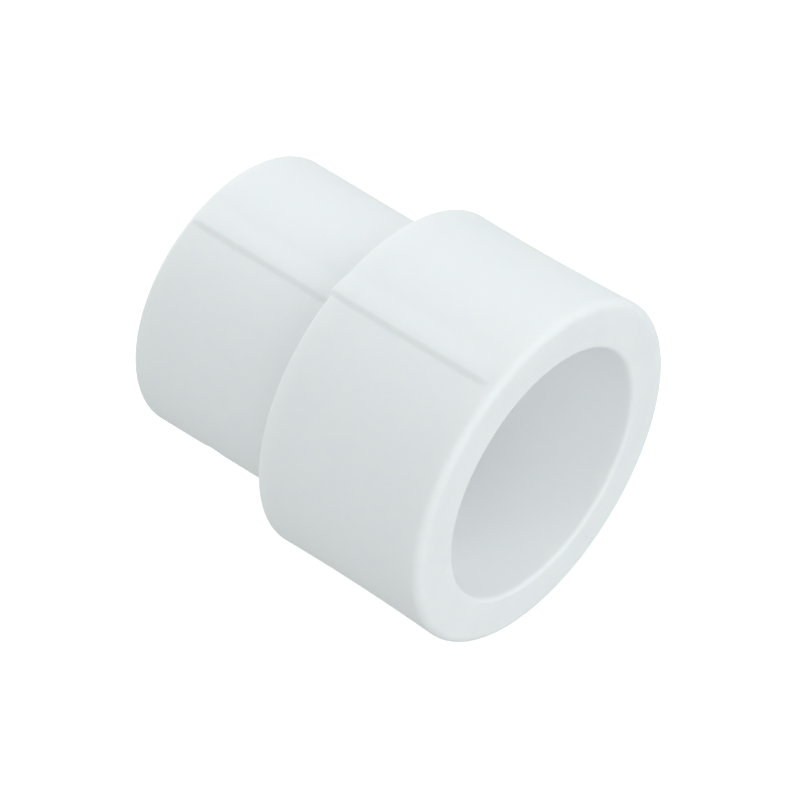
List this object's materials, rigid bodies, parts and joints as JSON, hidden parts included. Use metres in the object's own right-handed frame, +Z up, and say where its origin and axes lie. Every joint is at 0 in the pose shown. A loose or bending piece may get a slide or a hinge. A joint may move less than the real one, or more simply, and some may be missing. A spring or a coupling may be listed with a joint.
{
  "type": "reducing coupling",
  "caption": "Plain moulded coupling with a socket at each end, one larger than the other, and a tapered throat between them, for welding a wide plastic pipe to a narrow one.",
  "frame": {"origin": "centre of the large socket's mouth, on the pipe axis", "axes": "+X along the pipe axis, out of the large socket; +Z up when the coupling lies on its large hub"},
  "size_m": [0.0356, 0.033, 0.033],
  "materials": {
    "moulded_body": "satin white polypropylene, cool white, as moulded"
  },
  "bodies": {
    "root": {"coupling_body": "moulded_body"}
  },
  "joints": []
}
